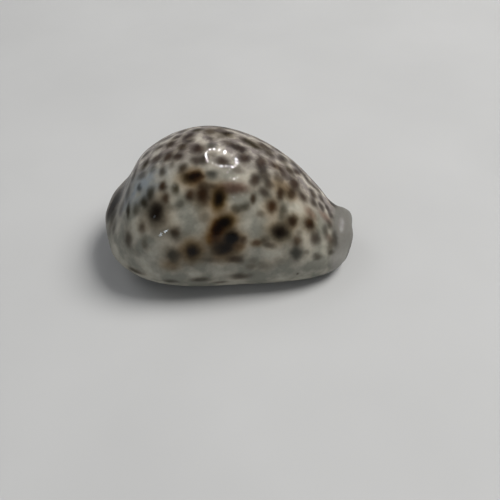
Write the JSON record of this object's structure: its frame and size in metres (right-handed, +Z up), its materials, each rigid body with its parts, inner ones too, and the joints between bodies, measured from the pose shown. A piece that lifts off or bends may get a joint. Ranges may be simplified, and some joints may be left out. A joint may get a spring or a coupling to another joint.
{
  "type": "cowrie shell",
  "caption": "Egg-shaped glossy sea shell, spotted on its domed back and open along a long toothed slit in its flat white base.",
  "frame": {"origin": "middle of the shell's footprint on the surface that it rests on", "axes": "+X towards the narrow front (siphon) end, -X towards the broad back (spire) end, -Y towards the outer lip, +Z up through the domed back"},
  "size_m": [0.0815, 0.0555, 0.042],
  "materials": {
    "shell": "gloss"
  },
  "bodies": {
    "root": {"shell": "shell"}
  },
  "joints": []
}
